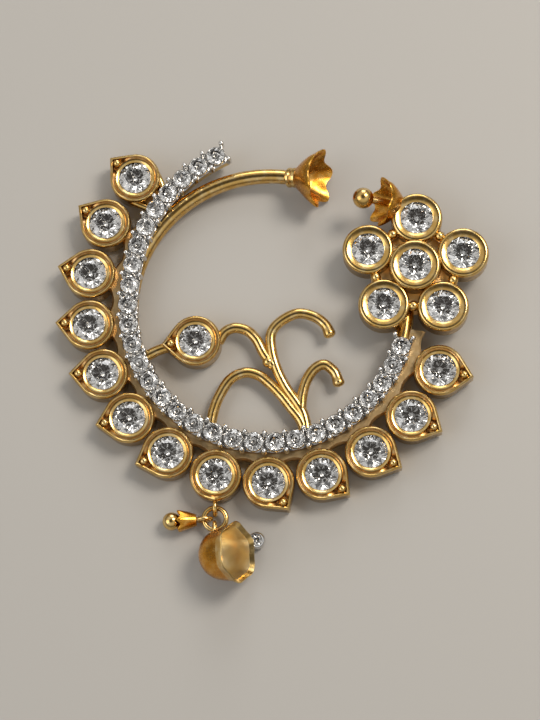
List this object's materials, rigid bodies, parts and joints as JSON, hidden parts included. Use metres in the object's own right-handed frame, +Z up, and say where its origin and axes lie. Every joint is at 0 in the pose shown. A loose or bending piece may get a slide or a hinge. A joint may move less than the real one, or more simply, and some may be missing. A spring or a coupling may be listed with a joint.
{
  "type": "nose ring",
  "caption": "Open gold hoop nose ring with a white stone row, pear bezels round its outside, a stone flower, scroll work, press-on cup clasp and a small bell drop, lying on its back.",
  "frame": {"origin": "centre of the bounding box at the surface the ring lies on", "axes": "+Z up from the surface, +Y from the bell drop towards the clasp, +X towards the stone flower"},
  "size_m": [0.0346, 0.036, 0.0046],
  "materials": {
    "gold_plate": "polished yellow gold plate on cast brass",
    "stone_row": "bright rhodium-plated prongs with clear cut stones",
    "crystal": "clear faceted cubic zirconia"
  },
  "bodies": {
    "root": {"gold_frame": "gold_plate", "drop_link": "gold_plate", "drop_bud": "gold_plate", "drop_bell": "gold_plate", "pave_row": "stone_row", "pear_stone_01": "crystal", "pear_stone_02": "crystal", "pear_stone_03": "crystal", "pear_stone_04": "crystal", "pear_stone_05": "crystal", "pear_stone_06": "crystal", "pear_stone_07": "crystal", "pear_stone_08": "crystal", "pear_stone_09": "crystal", "pear_stone_10": "crystal", "pear_stone_11": "crystal", "pear_stone_12": "crystal", "pear_stone_13": "crystal", "petal_stone_1": "crystal", "petal_stone_2": "crystal", "petal_stone_3": "crystal", "petal_stone_4": "crystal", "petal_stone_5": "crystal", "flower_centre_stone": "crystal", "scroll_stone": "crystal", "drop_stone": "crystal"}
  },
  "joints": []
}
